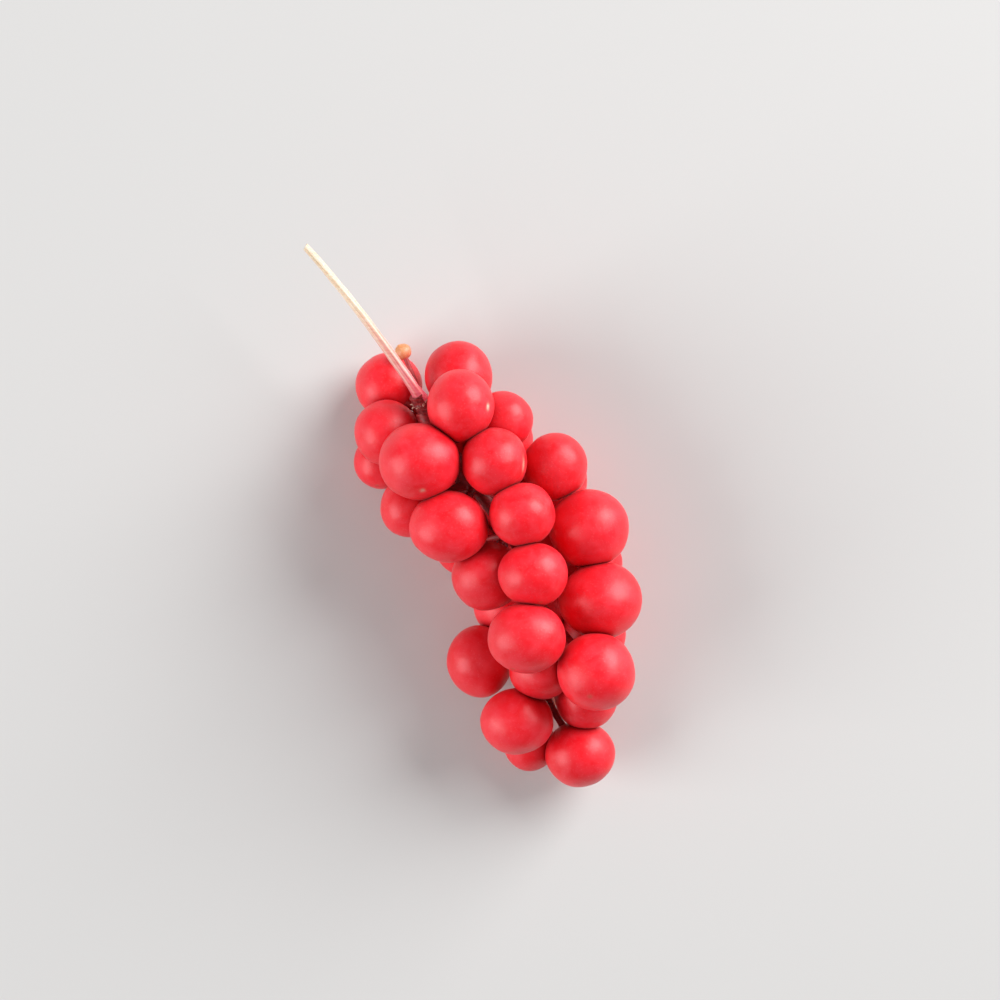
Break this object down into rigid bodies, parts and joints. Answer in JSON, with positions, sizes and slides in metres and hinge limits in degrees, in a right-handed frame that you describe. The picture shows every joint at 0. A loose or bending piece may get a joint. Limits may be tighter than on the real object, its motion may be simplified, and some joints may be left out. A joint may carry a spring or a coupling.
{
  "type": "schisandra berry bunch",
  "caption": "Picked bunch of fresh red schisandra berries crowded round a thin receptacle, with a bare pale stalk, lying on its side.",
  "frame": {"origin": "middle of the bunch's footprint, on the surface it lies on", "axes": "+Z up from the surface, +Y along the bunch's longest side towards the stalk's cut end, +X to the right seen from above with +Y up"},
  "size_m": [0.037, 0.06, 0.0194],
  "materials": {
    "berry_skin": "satin",
    "unripe_skin": "satin",
    "stalk": "satin",
    "collar": "matte",
    "receptacle": "satin"
  },
  "bodies": {
    "root": {"berry_01": "berry_skin", "berry_02": "berry_skin", "berry_03": "berry_skin", "berry_04": "berry_skin", "berry_05": "berry_skin", "berry_06": "berry_skin", "berry_07": "berry_skin", "berry_08": "berry_skin", "berry_09": "berry_skin", "berry_10": "berry_skin", "berry_11": "berry_skin", "berry_12": "berry_skin", "berry_13": "berry_skin", "berry_14": "berry_skin", "berry_15": "berry_skin", "berry_16": "berry_skin", "berry_17": "berry_skin", "berry_18": "berry_skin", "berry_19": "berry_skin", "berry_20": "berry_skin", "berry_21": "berry_skin", "berry_22": "berry_skin", "berry_23": "berry_skin", "berry_24": "berry_skin", "berry_25": "berry_skin", "berry_26": "berry_skin", "berry_27": "berry_skin", "berry_28": "berry_skin", "berry_29": "berry_skin", "berry_30": "berry_skin", "berry_31": "berry_skin", "berry_32": "berry_skin", "berry_33": "berry_skin", "berry_34": "berry_skin", "berry_35": "berry_skin", "unripe_carpel_1": "unripe_skin", "unripe_carpel_2": "unripe_skin", "unripe_carpel_3": "unripe_skin", "stalk": "stalk", "collar": "collar", "receptacle": "receptacle"}
  },
  "joints": []
}
